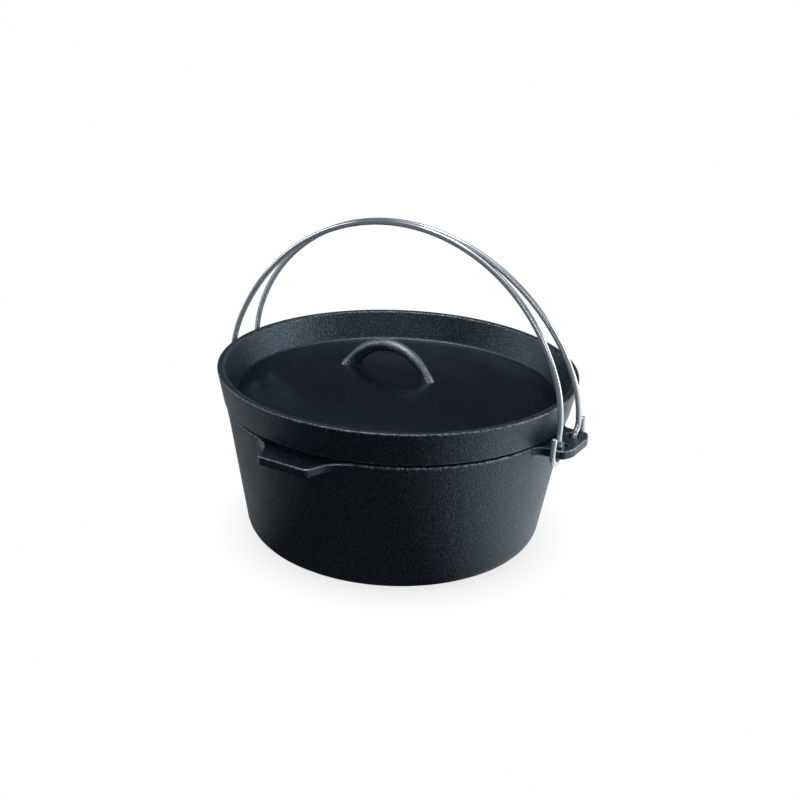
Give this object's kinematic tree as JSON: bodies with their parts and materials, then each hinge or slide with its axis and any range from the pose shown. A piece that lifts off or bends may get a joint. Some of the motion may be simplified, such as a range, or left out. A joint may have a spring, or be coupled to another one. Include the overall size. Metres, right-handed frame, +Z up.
{
  "type": "camp dutch oven",
  "caption": "Round flat-bottomed cast iron camp dutch oven with a flanged lid that holds coals, a looped lid handle, lifting tabs and swinging wire bails.",
  "frame": {"origin": "middle of the flat base, on the surface that the oven stands on", "axes": "+Z up along the pot's axis, +X through the middle of the wire lugs, -Y towards the front bail and the tab that faces the camera"},
  "size_m": [0.3116, 0.3096, 0.252],
  "materials": {
    "pot_iron": "seasoned, fine sand-cast grain, satin",
    "lid_iron": "seasoned, fine sand-cast grain, satin",
    "bail_wire": "bright plated wire"
  },
  "bodies": {
    "pot": {"pot": "pot_iron"},
    "lid": {"lid": "lid_iron"},
    "front_bail": {"front_bail": "bail_wire"},
    "rear_bail": {"rear_bail": "bail_wire"}
  },
  "joints": [
    {"name": "lid_slide", "type": "slide", "parent": "pot", "child": "lid", "axis": [0, 0.9781, 0.2079], "range_m": [0, 0.3]},
    {"name": "front_bail_hinge", "type": "hinge", "parent": "pot", "child": "front_bail", "pos_m": [0, -0.0194, 0.1058], "axis": [1, 0, 0], "range_deg": [0, 138]},
    {"name": "rear_bail_hinge", "type": "hinge", "parent": "pot", "child": "rear_bail", "pos_m": [0, 0.0194, 0.1058], "axis": [-1, 0, 0], "range_deg": [0, 138]}
  ]
}
